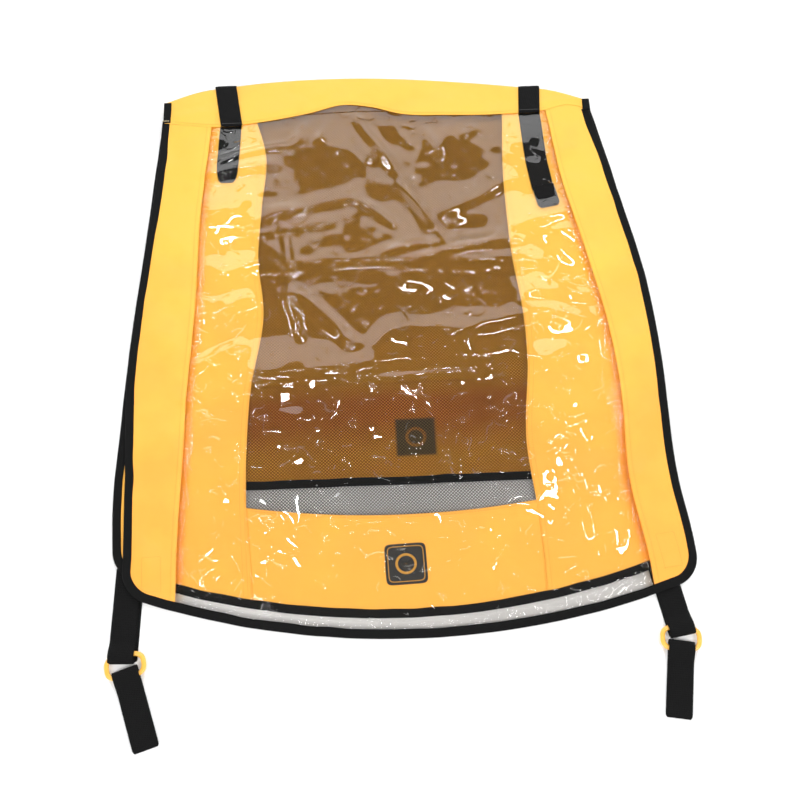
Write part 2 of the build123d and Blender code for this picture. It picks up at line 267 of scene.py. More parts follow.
# Creases in the film: start, end, half width, height, and a lean where there is one
film_creases = (
    ((-41, 16), (60, -190), 7.0, 5.0),
    ((-52, 14), (-75, -40), 6.0, 3.2),
    ((-80, 4), (-112, -56), 6.0, 3.0),
    ((-26, 10), (-14, -70), 5.0, 2.6),
    ((4, 4), (34, -52), 5.0, 2.8),
    ((40, -2), (66, -70), 7.0, 2.6),
    ((88, -6), (60, -66), 8.0, 2.4),
    ((132, -8), (96, -40), 6.0, 2.2),
    ((-150, -6), (-112, -24), 6.0, 2.0),
    ((-196, -60), (-104, -44), 7.0, 3.0, 0.2),
    ((-212, -80), (-120, -70), 10.0, 3.4, 0.3),
    ((-150, -150), (-30, -118), 9.0, 3.2, 0.4),
    ((-150, -166), (-60, -150), 8.0, 2.4, 0.3),
    ((-36, -120), (12, -160), 6.0, 3.0),
    ((12, -100), (70, -190), 5.0, 4.6),
    ((-4, -196), (60, -186), 6.0, 3.6, 0.5),
    ((30, -208), (150, -186), 8.0, 4.6, 0.5),
    ((-150, -206), (60, -210), 22.0, 3.2, 0.72),
    ((60, -214), (170, -214), 20.0, 3.2, 0.72),
    ((-118, -150), (-112, -236), 6.0, 3.6),
    ((-112, -232), (-42, -310), 9.0, 4.2),
    ((-116, -236), (-100, -300), 6.0, 2.6),
    ((-200, -262), (-150, -244), 9.0, 2.4, 0.2),
    ((-40, -332), (-160, -338), 20.0, 5.2, 0.72),
    ((-60, -336), (160, -336), 24.0, 5.6, 0.76),
    ((-20, -352), (96, -348), 6.0, 2.2, 0.4),
    ((-222, -330), (-160, -300), 7.0, 2.4, 0.2),
    ((-228, -360), (-200, -392), 6.0, 2.4),
    ((-200, -394), (-60, -396), 9.0, 2.0, 0.3),
    ((60, -300), (190, -278), 18.0, 2.0, 0.5),
    ((152, -250), (236, -262), 16.0, 2.2, 0.5),
    ((120, -176), (210, -150), 13.0, 2.6, 0.4),
    ((150, -100), (60, -146), 12.0, 2.4, 0.4),
    ((150, -340), (236, -330), 12.0, 2.6, 0.4),
    ((168, -430), (182, -540), 8.0, 2.6),
    ((196, -420), (214, -560), 10.0, 1.8),
    ((-212, -560), (-120, -506), 9.0, 2.4, 0.2),
    ((-160, -548), (-60, -566), 12.0, 1.8, 0.3),
    ((40, -506), (20, -590), 14.0, 1.4),
    ((110, -500), (150, -520), 10.0, 1.4),
)
# Places where the film slopes towards its lower end and stays clear: middle, half sizes, slope
film_slopes = (
    ((-72, -85), (30, 66), 0.060),
    ((80, -72), (44, 46), 0.060),
    ((82, -160), (42, 15), 0.080),
    ((180, -76), (44, 58), 0.040),
    ((-186, -152), (34, 44), 0.045),
    ((-10, -262), (130, 26), 0.030),
)
# Soft waves in the rain layer's cloth sides
side_creases = (
    ((-262, -150), (-214, -196), 12.0, 1.2),
    ((-286, -260), (-230, -300), 16.0, 1.2),
    ((-286, -430), (-236, -400), 15.0, 1.4),
    ((-282, -520), (-236, -560), 14.0, 1.2),
    ((216, -60), (262, -90), 14.0, 1.2),
    ((228, -200), (284, -236), 16.0, 1.4),
    ((244, -330), (290, -300), 14.0, 1.2),
    ((242, -470), (292, -500), 16.0, 1.6),
)
# Waves in the screen layer's cloth and mesh
screen_creases = (
    ((-146, -250), (-160, -300), 14.0, 1.2),
    ((-230, -260), (-150, -300), 14.0, 1.3),
    ((-146, -444), (-250, -420), 18.0, 1.3),
    ((-60, -560), (-44, -520), 16.0, 1.1),
    ((60, -520), (30, -580), 20.0, 1.1),
    ((146, -300), (250, -280), 15.0, 1.3),
    ((150, -200), (230, -206), 9.0, 1.3, 0.4),
    ((200, -380), (216, -560), 14.0, 1.3),
    ((-150, -214), (-70, -300), 4.0, 1.4),
    ((130, -400), (70, -450), 4.0, 1.2),
)

def depth_inside(x, y, length, shift):
    """How far a plan point is inside a front layer's outline, roughly."""
    side = side_x(y) - np.abs(x - shift)
    bottom = bow_radius - np.hypot(x - shift, y - (bow_radius - length))
    short = np.minimum(side, bottom)
    return short - 0.25 * corner_radius * np.exp(-np.abs(side - bottom) / corner_radius)


def over_straps(x, y):
    """How much the layers rise where the anchor straps come out below their corners."""
    near = np.exp(-(((x + 272) / 17) ** 4)) + np.exp(-(((x - 256) / 17) ** 4))
    return near * smooth((-y - 535) / 22.0)


def rear_height(x, y):
    """Middle of the rear flap's cloth."""
    tuck = 0.9 * np.exp(-((y - tuck_y) / 5.0) ** 2)
    return 1.45 + 0.35 * noise(x, y, 70, 11) + 0.15 * noise(x, y, 24, 12) + tuck


def screen_height(x, y):
    """Middle of the screen layer's cloth and mesh."""
    inside = depth_inside(x, y, screen_length, -6 * smooth(-y / 400))
    body = 2.6 + 1.7 * smooth(inside / 45.0)
    corner = smooth((np.abs(x) - 235) / 20) * smooth((-y - 520) / 20)
    body = body * (1 - corner) + 4.2 * corner
    rise = 3.0 * smooth((y + 55) / 50.0)
    waves = 0.5 * noise(x, y, 80, 21) + 0.22 * noise(x, y, 30, 22)
    for item in screen_creases:
        waves = waves + crease(x, y, *item)
    body = body + 1.2 * over_straps(x, y)
    return body + rise + waves * smooth(inside / 25.0) * (1 - smooth((y + 30) / 30.0))


def rain_height(x, y):
    """Middle of the rain layer's film and cloth."""
    inside = depth_inside(x, y, rain_length, 4 * smooth(-y / 400))
    over_screen = smooth((depth_inside(x, y, screen_length, -6 * smooth(-y / 400)) + 24) / 22.0)
    body = 2.0 + 3.6 * over_screen + 3.0 * smooth((inside - 4) / 55.0)
    body = body + (2.8 - 1.6 * over_screen) * over_straps(x, y)
    film = smooth((side_x(y) - np.abs(x) - 50) / 14.0)
    upper = smooth((y + 420) / 160.0)
    folds = np.abs(noise(x, y, 76, 37)) * 3.6 + np.abs(noise(x + 0.3 * y, y, 36, 38)) * 1.3
    waves = (0.45 + 0.55 * upper) * (2.0 * noise(x, y, 84, 31) + 0.8 * noise(x, y, 38, 32) - folds + 1.6)
    for (cx, cy), (half_x, half_y), slope in film_slopes:
        window = np.exp(-(((x - cx) / half_x) ** 4)) * np.exp(-(((y - cy) / half_y) ** 4))
        waves = waves * (1 - 0.85 * window) + slope * (y - cy) * window
    waves = film * (waves + 0.25 * noise(x, y, 16, 33))
    waves = waves + (1 - film) * (0.35 * noise(x, y, 60, 34) + 0.15 * noise(x, y, 22, 35))
    for item in film_creases:
        waves = waves + film * crease(x, y, *item)
    for item in side_creases:
        waves = waves + (1 - film) * 1.7 * crease(x, y, *item)
    near_seam = smooth((y - seam_y(x) + 26) / 26.0)
    flat = body + waves * smooth(inside / 22.0) * (0.5 + 0.5 * smooth((-y - 8) / 45.0))
    support = (screen_height(x, y) + 1.7) * over_screen
    flat = 0.5 * (flat + support + np.sqrt((flat - support) ** 2 + 0.5))
    at_seam = leaf_z - 1.0 + 0.8 * (1 - near_seam) * noise(x, y, 9, 36)
    return flat * (1 - near_seam) + at_seam * near_seam


def puckers(x, y):
    """Small gathers where the film is sewn to cloth, strongest at the stitching."""
    return 0.3 * noise(x * 0.6, y, 5.0, 41)

# ---------------------------------------------------------------- mesh building


def add_mesh(name, points, faces, material):
    mesh = bpy.data.meshes.new(name)
    mesh.from_pydata((np.asarray(points, float) * MM).tolist(), [], [tuple(f) for f in faces])
    mesh.polygons.foreach_set("use_smooth", [True] * len(mesh.polygons))
    mesh.materials.append(material)
    mesh.update()
    piece = bpy.data.objects.new(name, mesh)
    bpy.context.scene.collection.objects.link(piece)
    return piece


def closed_sheet(name, top, low, material):
    """Closed sheet between two grids of points: (rows, columns, 3)."""
    rows, cols = top.shape[:2]
    count = rows * cols
    ids = np.arange(count).reshape(rows, cols)
    quads = np.stack([ids[:-1, :-1], ids[1:, :-1], ids[1:, 1:], ids[:-1, 1:]], -1).reshape(-1, 4)
    rim = np.concatenate([ids[:-1, 0], ids[-1, :-1], ids[:0:-1, -1], ids[0, :0:-1]])
    after = np.roll(rim, -1)
    walls = np.stack([rim, rim + count, after + count, after], -1)
    faces = np.vstack([quads, quads[:, ::-1] + count, walls])
    points = np.vstack([top.reshape(-1, 3), low.reshape(-1, 3)])
    return add_mesh(name, points, faces.tolist(), material)


def slab(name, plan, middle, thick, material):
    """Closed thin sheet over a grid of plan points, about the given middle heights."""
    top = np.dstack([plan, middle + thick / 2])
    low = np.dstack([plan, middle - thick / 2])
    return closed_sheet(name, top, low, material)


def flat_area(plan):
    """Area of a plan grid in square metres."""
    a, b, c, d = plan[:-1, :-1], plan[1:, :-1], plan[1:, 1:], plan[:-1, 1:]
    p, q = c - a, d - b
    return float(np.abs(p[..., 0] * q[..., 1] - p[..., 1] * q[..., 0]).sum() / 2) * MM * MM


def loft(name, rings, material, closed_path=False):
    """Tube through rings of points: (stations, points round, 3), capped across opposite points."""
    stations, around = rings.shape[:2]
    ids = np.arange(stations * around).reshape(stations, around)
    beside = np.roll(ids, -1, 1)
    last = stations if closed_path else stations - 1
    corners = (ids, np.roll(ids, -1, 0), np.roll(beside, -1, 0), beside)
    faces = np.stack([c[:last] for c in corners], -1).reshape(-1, 4).tolist()
    if not closed_path:
        for row, flip in ((ids[0], False), (ids[-1], True)):
            for k in range(around // 2 - 1):
                cap = [row[k], row[k + 1], row[around - 2 - k], row[around - 1 - k]]
                faces.append(cap[::-1] if flip else cap)
    return add_mesh(name, rings.reshape(-1, 3), faces, material)


def directions(path):
    """Unit tangents of a path."""
    step = np.gradient(path, axis=0)
    return step / np.linalg.norm(step, axis=1, keepdims=True)


def evenly(path, step):
    """Points of a path at an even spacing."""
    along = np.concatenate([[0], np.cumsum(np.linalg.norm(np.diff(path, axis=0), axis=1))])
    place = np.linspace(0, along[-1], max(2, int(along[-1] / step) + 1))
    return np.column_stack([np.interp(place, along, path[:, k]) for k in range(path.shape[1])])


def turned(angle):
    """Matrix that turns rows of plan points clockwise by an angle."""
    return np.array([[math.cos(angle), math.sin(angle)], [-math.sin(angle), math.cos(angle)]])


# Section of folded tape: distance in from the edge, and height about the panel, outside then inside
tape_outside = ((9.0, 0.62), (8.7, 0.8), (6.0, 0.85), (3.0, 0.85), (1.2, 0.8), (0.35, 0.55), (0.0, 0.0))
tape_inside = ((8.9, 0.32), (8.4, 0.36), (6.0, 0.4), (3.0, 0.4), (1.6, 0.38), (1.0, 0.25), (0.8, 0.0))


def tape_along(name, edge, height, seed, step=4.0):
    """Tape folded over an edge. edge is plan points with the cloth to their left, height its middle."""
    path = evenly(edge, step)
    ahead = directions(path)
    inward = np.column_stack([-ahead[:, 1], ahead[:, 0]])
    wander = 0.6 * noise(path[:, 0], path[:, 1], 21, seed)
    outer = list(tape_outside) + [(d, -h) for d, h in tape_outside[-2::-1]]
    inner = list(tape_inside) + [(d, -h) for d, h in tape_inside[-2::-1]]
    rings = []
    for d, h in outer + inner[::-1]:
        off = d + wander * (1.0 if d > 5 else 0.4)
        place = path + inward * off[:, None]
        ripple = 0.12 * noise(place[:, 0], place[:, 1], 6, seed + 1)
        rings.append(on_surface(place, height, h + ripple * np.sign(h)))
    return loft(name, np.stack(rings, 1), tape)


def stitches(name, path, material, pitch, length, radius):
    """Row of thread stitches along a path of (x, y, z) points, each a small stretched bead."""
    centres = evenly(path, pitch)
    points, faces = [], []
    ring = [(0.0, 1.0), (0.866, 0.5), (0.866, -0.5), (0.0, -1.0), (-0.866, -0.5), (-0.866, 0.5)]
    for centre, ahead in zip(centres, directions(centres)):
        side = np.array([-ahead[1], ahead[0], 0.0])
        side /= max(np.linalg.norm(side), 1e-9)
        base = len(points)
        for share, size in ((-0.5, 0.35), (-0.3, 1.0), (0.3, 1.0), (0.5, 0.35)):
            lift = 0.35 * radius * (1 - (2 * share) ** 2)
            for cx, cz in ring:
                raised = np.array([0.0, 0.0, cz * radius * size + lift])
                points.append(centre + ahead * share * length + side * cx * radius * size + raised)
        for row in range(base, base + 18, 6):
            for m in range(6):
                n = (m + 1) % 6
                faces.append((row + m, row + n, row + 6 + n, row + 6 + m))
        faces.append(tuple(range(base + 5, base - 1, -1)))
        faces.append(tuple(range(base + 18, base + 24)))
    return add_mesh(name, points, faces, material)


def on_surface(plan, height, lift):
    return np.column_stack([plan, at(height, plan) + lift])


def ribbon(name, path, across, width, thick):
    """Flat webbing along a path of (x, y, z) points, across a plan direction, with slightly domed edges."""
    across = np.array([*across, 0.0]) / np.hypot(*across)
    up = np.cross(across, directions(path))
    up /= np.linalg.norm(up, axis=1, keepdims=True)
    half = np.broadcast_to(np.asarray(width, float) / 2, (len(path),))
    share = np.linspace(-1, 1, 9)
    edge = 1 - 0.45 * np.abs(share) ** 10
    rings = []
    for u, e in list(zip(share, edge)) + list(zip(share[::-1], -edge[::-1])):
        rings.append(path + across * (u * half)[:, None] + up * (e * thick / 2))
    return loft(name, np.stack(rings, 1), webbing)


def assign(piece, slot, *nodes, body=None):
    """Hide the CAD nodes that a piece replaces and attach it to the body that it rides. The slot is not used.
    """
    if nodes:
        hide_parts(*nodes)
    if body:
        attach(piece, body)


# ---------------------------------------------------------------- materials


class Graph:
    """Small helper for writing a material's nodes, with sizes in millimetres."""

    def __init__(self, name):
        self.material = bpy.data.materials.new(name)
        self.material.use_nodes = True
        self.tree = self.material.node_tree
        self.tree.nodes.clear()
        self.out = self.tree.nodes.new("ShaderNodeOutputMaterial")
        self.place = self.add("ShaderNodeTexCoord").outputs["Object"]

    def put(self, value, socket):
        if isinstance(value, bpy.types.NodeSocket):
            self.tree.links.new(value, socket)
        else:
            socket.default_value = value

    def add(self, kind, settings=None, **inputs):
        node = self.tree.nodes.new(kind)
        for key, value in (settings or {}).items():
            setattr(node, key, value)
        for key, value in inputs.items():
            self.put(value, node.inputs[int(key[1:]) if key[0] == "_" else key.replace("_", " ")])
        return node

    def maths(self, operation, a, b=0.0):
        return self.add("ShaderNodeMath", {"operation": operation}, _0=a, _1=b).outputs[0]

    def noise(self, size, detail=2.0, rough=0.5):
        """Noise with features about size wide."""
        return self.add("ShaderNodeTexNoise", Vector=self.place, Scale=1000.0 / size, Detail=detail,
                        Roughness=rough).outputs["Fac"]

    def wave(self, pitch, axis, distortion=0.0, detail=1.0):
        """Ribs with the given pitch, across axis."""
        return self.add("ShaderNodeTexWave", {"bands_direction": axis}, Vector=self.place, Detail=detail,
                        Scale=math.pi / 10 / (pitch * MM), Distortion=distortion).outputs["Fac"]

    def twill(self, pitch, distortion=0.0):
        return self.wave(pitch, "DIAGONAL", distortion, 2.0)

    def xyz(self):
        return self.add("ShaderNodeSeparateXYZ", Vector=self.place).outputs

    def between(self, value, low, high, start=0.0, end=1.0):
        return self.add("ShaderNodeMapRange", Value=value, From_Min=start, From_Max=end, To_Min=low,
                        To_Max=high).outputs["Result"]

    def colours(self, value, low, high):
        """Mix of two colours, each a node's output or its red, green and blue."""
        node = self.add("ShaderNodeMix", {"data_type": "RGBA"})
        self.put(value, node.inputs[0])
        for socket, colour in ((node.inputs[6], low), (node.inputs[7], high)):
            self.put((*colour, 1.0) if isinstance(colour, tuple) else colour, socket)
        return node.outputs[2]

    def bump(self, height, distance, strength=1.0, normal=None):
        node = self.add("ShaderNodeBump", Height=height, Distance=distance * MM, Strength=strength)
        if normal is not None:
            self.put(normal, node.inputs["Normal"])
        return node.outputs["Normal"]

    def finish(self, shader):
        self.tree.links.new(shader, self.out.inputs["Surface"])
        return self.material

    def surface(self, colour, rough, **inputs):
        """Finish with a Principled shader."""
        shader = self.add("ShaderNodeBsdfPrincipled", Base_Color=colour, Roughness=rough, **inputs)
        return self.finish(shader.outputs[0])


def patch_shadow(g):
    """Where the patch behind the rear flap shows through its cloth."""
    x, y, _ = g.xyz()
    dx = g.maths("ABSOLUTE", g.maths("SUBTRACT", x, rear_patch_place[0] * MM))
    dy = g.maths("ABSOLUTE", g.maths("SUBTRACT", y, rear_patch_place[1] * MM))
    square = g.between(g.maths("MAXIMUM", dx, dy), 0.9, 0.0, 0.0195, 0.0225)
    radius = g.maths("SQRT", g.maths("ADD", g.maths("MULTIPLY", dx, dx), g.maths("MULTIPLY", dy, dy)))
    ring = g.between(g.maths("ABSOLUTE", g.maths("SUBTRACT", radius, 0.0095)), 0.55, 0.0, 0.0008, 0.0024)
    return g.maths("MULTIPLY", square, g.maths("SUBTRACT", 1.0, ring))


def cloth_material(name, pale, deep, shade_band_colour=None):
    """Coated woven polyester: fine plain weave, faint mottling and handling marks, satin.

    The colour deepens slowly towards the lower edge, as it looks in the photo.
    """
    g = Graph(name)
    weave = g.maths("MULTIPLY", g.wave(0.7, "X"), g.wave(0.7, "Y"))
    mottle = g.between(g.noise(60, 3.0), -0.25, 0.25, 0.35, 0.65)
    y = g.xyz()["Y"]
    colour = g.colours(g.maths("ADD", g.between(y, 0.0, 1.0, -0.50, -0.15), mottle), deep, pale)
    colour = g.colours(g.between(weave, 0.0, 0.05), colour, (0.55, 0.27, 0.02))
    # Redder band across the rear flap, with soft noise in it: painted shade, for the shadow of the
    # overlapping cloth and light passed through two layers of yellow.
    if shade_band_colour is not None:
        below, above = g.between(y, 0.0, 1.0, -0.435, -0.395), g.between(y, 1.0, 0.0, -0.372, -0.350)
        shade_band_mask = g.maths("ADD", g.maths("MULTIPLY", below, above), g.between(g.noise(55, 1.0), -0.25, 0.25))
        colour = g.colours(g.between(shade_band_mask, 0.0, 0.9), colour, shade_band_colour)
        colour = g.colours(patch_shadow(g), colour, (0.085, 0.075, 0.03))
    normal = g.bump(g.noise(46, 1.5), 12.0, 0.55)
    normal = g.bump(g.noise(11, 3.0), 0.9, 0.4, normal)
    normal = g.bump(weave, 0.06, 0.6, normal)
    rough = g.between(g.noise(9, 4.0), 0.38, 0.56)
    return g.surface(colour, rough, Normal=normal, Sheen_Weight=0.08, Sheen_Roughness=0.4,
                     Specular_IOR_Level=0.3)


def woven_black(name, pitch, axis, tone, relief):
    """Black ribbed tape or webbing, matt with a faint sheen and a little lint."""
    g = Graph(name)
    ribs = g.wave(pitch, axis, 0.6)
    twill = g.twill(1.1, 0.4)
    lint = g.between(g.noise(1.4, 3.0), 0.0, 1.0, 0.66, 0.78)
    pale = (tone * 1.7, tone * 1.7, tone * 1.75)
    colour = g.colours(g.maths("MULTIPLY", ribs, twill), (tone * 0.45,) * 3, pale)
    colour = g.colours(g.maths("MULTIPLY", lint, 0.25), colour, (0.03, 0.03, 0.031))
    normal = g.bump(g.maths("ADD", ribs, g.maths("MULTIPLY", twill, 0.4)), relief, 0.7)
    return g.surface(colour, g.between(g.noise(5), 0.62, 0.8), Normal=normal,
                     Specular_IOR_Level=0.1, Sheen_Weight=0.02, Sheen_Roughness=0.5)


def crease_lines(g):
    """Thin sharp lines along the noise's middle value, at three sizes, each only in some places."""
    lines = None
    for size, offset, width in ((44, 0.13, 0.026), (25, 0.52, 0.036), (14, 0.91, 0.044)):
        moved = g.add("ShaderNodeVectorMath", {"operation": "ADD"}, _0=g.place, _1=(offset, offset, 0.0))
        moved = moved.outputs[0]
        field = g.add("ShaderNodeTexNoise", Vector=moved, Scale=1000.0 / size, Detail=0.0, Distortion=0.6)
        line = g.maths("ABSOLUTE", g.maths("SUBTRACT", field.outputs["Fac"], 0.5))
        line = g.between(line, 1.0, 0.0, 0.0, width)
        where = g.add("ShaderNodeTexNoise", Vector=moved, Scale=1000.0 / (size * 0.9), Detail=1.0)
        line = g.maths("MULTIPLY", line, g.between(where.outputs["Fac"], 0.0, 1.0, 0.59, 0.66))
        lines = line if lines is None else g.maths("MAXIMUM", lines, line)
    return lines


def film_material():
    """Clear soft film: mirror-like skin over a faintly tinted see-through body, with fine creases.

    Only the wall that faces the light reflects, so that the film doesn't hold back what it lets in.
    """
    g = Graph("clear_film")
    seam = g.add("ShaderNodeAttribute", {"attribute_name": "seam"}).outputs["Fac"]
    lower_edge = g.add("ShaderNodeAttribute", {"attribute_name": "lower_edge"}).outputs["Fac"]
    normal = g.bump(g.noise(26, 1.0), 0.5, 0.5)
    normal = g.bump(crease_lines(g), 0.6, 1.0, normal)
    pucker = g.maths("MULTIPLY", g.noise(4.5, 1.0), g.maths("MAXIMUM", seam, lower_edge))
    normal = g.bump(pucker, 1.6, 1.0, normal)
    clear = g.colours(seam, (0.99, 0.985, 0.975), (0.97, 0.90, 0.80))
    # Grey tint near the film's lower end: painted shade and painted reflection, for the shadow under the
    # raised film and the dark tape seen in it.
    clear = g.colours(g.maths("MULTIPLY", lower_edge, 0.7), clear, (0.76, 0.75, 0.74))
    see_through = g.add("ShaderNodeBsdfTransparent", Color=clear).outputs[0]
    skin = g.add("ShaderNodeBsdfGlossy", Color=(1.0, 0.99, 0.98, 1.0), Roughness=0.012, Normal=normal)
    fresnel = g.add("ShaderNodeFresnel", IOR=1.5, Normal=normal).outputs[0]
    inner_wall = g.add("ShaderNodeNewGeometry").outputs["Backfacing"]
    strength = g.maths("MULTIPLY", g.maths("MULTIPLY", fresnel, 1.5), g.maths("SUBTRACT", 1.0, inner_wall))
    return g.finish(g.add("ShaderNodeMixShader", _0=strength, _1=see_through, _2=skin.outputs[0]).outputs[0])


def net_material(pitch=2.5, wire=0.23):
    """Insect mesh: black wires crossing at 45 degrees, with clear holes between them."""
    g = Graph("insect_mesh")
    x, y, _ = g.xyz()
    wires, heights = [], []
    for direction in ("ADD", "SUBTRACT"):
        along = g.maths("MULTIPLY", g.maths(direction, x, y), 1000.0 / (pitch * math.sqrt(2)))
        share = g.maths("FRACT", g.maths("ADD", along, 1000.0))
        wires.append(g.maths("LESS_THAN", share, wire))
        heights.append(g.maths("SINE", g.maths("MULTIPLY", share, math.pi / wire)))
    tone = g.colours(g.noise(3, 2.0), (0.003, 0.003, 0.003), (0.009, 0.0085, 0.008))
    shader = g.add("ShaderNodeBsdfPrincipled", Base_Color=tone, Roughness=g.between(g.noise(7), 0.5, 0.7),
                   Normal=g.bump(g.maths("ADD", *heights), 0.15, 0.5), Specular_IOR_Level=0.12)
    hole = g.add("ShaderNodeBsdfTransparent").outputs[0]
    mix = g.add("ShaderNodeMixShader", _0=g.maths("MAXIMUM", *wires), _1=hole, _2=shader.outputs[0])
    return g.finish(mix.outputs[0])


def plastic_material():
    """Moulded yellow plastic with a soft gloss and faint flow marks."""
    g = Graph("ring_plastic")
    colour = g.colours(g.noise(9, 3.0), (0.80, 0.40, 0.05), (0.92, 0.52, 0.09))
    return g.surface(colour, g.between(g.noise(5), 0.26, 0.4), Coat_Weight=0.2,
                     Coat_Roughness=0.2, Normal=g.bump(g.noise(2.5, 3.0), 0.05, 0.5))


def thread_material(name, tone):
    """Twisted sewing thread."""
    g = Graph(name)
    twist = g.twill(0.5)
    colour = g.colours(twist, tuple(c * 0.7 for c in tone), tone)
    return g.surface(colour, g.between(g.noise(3), 0.5, 0.7), Normal=g.bump(twist, 0.08, 0.6))


def hook_material():
    """Hook-and-loop tape with a rough pile."""
    g = Graph("hook_and_loop")
    pile = g.noise(1.2, 4.0, 0.7)
    colour = g.colours(pile, (0.42, 0.36, 0.12), (0.72, 0.66, 0.34))
    return g.surface(colour, g.between(pile, 0.7, 0.95), Normal=g.bump(pile, 0.5, 0.8),
                     Sheen_Weight=0.4)


def patch_material():
    """Woven black patch: fine diagonal twill."""
    g = Graph("woven_patch")
    twill = g.twill(0.8, 0.2)
    colour = g.colours(twill, (0.006, 0.006, 0.006), (0.016, 0.015, 0.014))
    return g.surface(colour, g.between(g.noise(6), 0.5, 0.68), Normal=g.bump(twill, 0.12, 0.6))


rear_patch_place = np.array([19.0, -415.5])
yellow = cloth_material("yellow_cloth", (0.94, 0.49, 0.068), (0.94, 0.385, 0.055))
# The screen layer's cloth is a lighter copy of the same yellow: painted light, so that it looks less dark
# under the rain film.
yellow_screen_painted_light = cloth_material("yellow_cloth_screen_painted_light", (0.94, 0.51, 0.066), (0.92, 0.43, 0.062))
# The rear cloth's last colour is painted shade: the redder band across the flap.
yellow_rear = cloth_material(
    "yellow_cloth_rear", (0.88, 0.39, 0.022), (0.86, 0.35, 0.02), shade_band_colour=(0.70, 0.20, 0.012)
)
tape = woven_black("binding_tape", 1.0, "X", 0.0055, 0.2)
webbing = woven_black("strap_webbing", 1.7, "Y", 0.005, 0.35)
film = film_material()
net = net_material()
plastic = plastic_material()
thread_yellow = thread_material("thread_yellow", (0.60, 0.29, 0.03))
thread_grey = thread_material("thread_grey", (0.10, 0.10, 0.10))
thread_pale = thread_material("thread_pale", (0.72, 0.60, 0.36))
hooks = hook_material()
patch_cloth = patch_material()


# ---------------------------------------------------------------- rear flap and patches


def declare(plan):
    """Work out the area of a flat-laid sheet's own pattern; the result is not kept."""
    flat_area(plan)


def rear_edge():
    """Outline of the rear flap from its upper left corner round the bottom to the upper right."""
    upper, lower, radius, top_y = rear_high[0], 240.0, 30.0, 17
    y = np.linspace(top_y, -rear_length + radius, 120)
    x = upper + (lower - upper) * (top_y - y) / (top_y + rear_length)
    turn = np.linspace(0, math.pi / 2, 16)[1:]
    corner = np.column_stack([x[-1] - radius + radius * np.cos(turn), y[-1] - radius * np.sin(turn)])
    half = np.vstack([np.column_stack([x, y]), corner])
    bottom_x = np.linspace(-corner[-1, 0], corner[-1, 0], 120)[1:-1]
    bottom = np.column_stack([bottom_x, np.full_like(bottom_x, -rear_length)])
    return np.vstack([half * [-1.0, 1.0], bottom, half[::-1]])


def rear_plans(edge):
    """Plan grids of the rear flap's upper and lower cloth, which overlap at the tuck."""
    shoulder, top_y, overlap = 215.0, 36.0, 6
    tuck_half = rear_high[0] - 5
    corner_x, corner_y = rear_high[0], -rear_length + 30
    upper_sides, lower_sides = [], []
    for side, half in ((-1, edge[: len(edge) // 2]), (1, edge[len(edge) // 2 :][::-1])):
        line = np.vstack([[(side * shoulder, top_y)], half])
        upper_sides.append(stretch_of(line, line[0], (side * tuck_half, tuck_y)))
        lower_start, corner = (side * tuck_half, tuck_y + overlap), (side * corner_x, corner_y)
        lower_sides.append(stretch_of(edge, lower_start, corner))
    top = straight((-shoulder, top_y), (shoulder, top_y))
    upper = between(top, straight((-tuck_half, tuck_y), (tuck_half, tuck_y)), *upper_sides, 5.0)
    top = straight((-tuck_half, tuck_y + overlap), (tuck_half, tuck_y + overlap))
    bottom = stretch_of(edge, (-corner_x, corner_y), (corner_x, corner_y))
    return upper, between(top, bottom, *lower_sides, 4.0)


def build_rear_flap():
    outline = rear_edge()
    upper, lower = rear_plans(inset(outline))
    for name, plan, lift, lip_height, node in (
        ("rear_upper_sheet", upper, 0.0, 0.5, "rear_panel"),
        ("rear_lower_sheet", lower, -0.25, 0.0, "rear_lower_panel"),
    ):
        laid = rear_place(plan)
        lip = lip_height * np.exp(-np.abs(laid[..., 1] - tuck_y) / 3.0)
        piece = slab(name, laid, at(rear_height, laid) + lift + lip, thickness["cloth"], yellow_rear)
        assign(piece, "yellow_fabric", node, body="rear_flap")
        declare(plan)
    binding = tape_along("rear_tape", rear_place(outline), rear_height, 51)
    assign(binding, "black_tape", "rear_binding", body="rear_flap")


def emblem(name, centre, height, face, body, node):
    """Plain woven patch with a generic ring and border sewn on it."""
    half, thick, gap, squareness = 21.0, 0.45, 0.28, 2 / 9.0
    turn = np.linspace(0, 2 * math.pi, 97)[:-1]
    circle = np.column_stack([np.cos(turn), np.sin(turn)])
    outline = half * np.sign(circle) * np.abs(circle) ** squareness
    spin = turned(0.02)
    rings = []
    for size, rise in ((1.0, 0.0), (1.0, 0.7), (0.985, 1), (0.8, 1), (0.5, 1), (0.02, 1)):
        rings.append(on_surface(outline * size @ spin + centre, height, face * (gap + rise * thick)))
    rings.append(np.column_stack([outline * 0.02 @ spin + centre, rings[0][:, 2]]))
    assign(loft(name, np.stack(rings, 0), patch_cloth, closed_path=True), "patch", node, body=body)
    loop = circle * 9.5 @ spin + centre
    border = outline * 0.86 @ spin + centre
    for suffix, line, wide in (("ring", loop, 1.3), ("border", border, 0.45)):
        ahead = directions(np.vstack([line, line[:2]]))[: len(line)]
        out = np.column_stack([ahead[:, 1], -ahead[:, 0]])
        ring = []
        for across, lift in ((-1, 0.0), (-0.8, 0.16), (0, 0.22), (0.8, 0.16), (1, 0.0), (0, -0.02)):
            ring.append(on_surface(line + out * across * wide, height, face * (gap + thick + lift)))
        thread = loft(f"{name}_{suffix}", np.stack(ring, 1), thread_yellow, closed_path=True)
        assign(thread, "yellow_fabric", body=body)


# ---------------------------------------------------------------- front layers


def hang(piece):
    """Bake the transform of a front layer's piece into its mesh."""
    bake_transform(piece)


def to_seam(plan, tuck, highest=99.0):
    """Pull the top rows of a plan grid so that its upper edge follows the wavy header seam."""
    x, y = plan[..., 0], plan[..., 1]
    fade = smooth((y + 90) / 90.0)
    return np.stack([x, y + np.minimum(seam_y(x) + tuck, highest) * fade], -1)


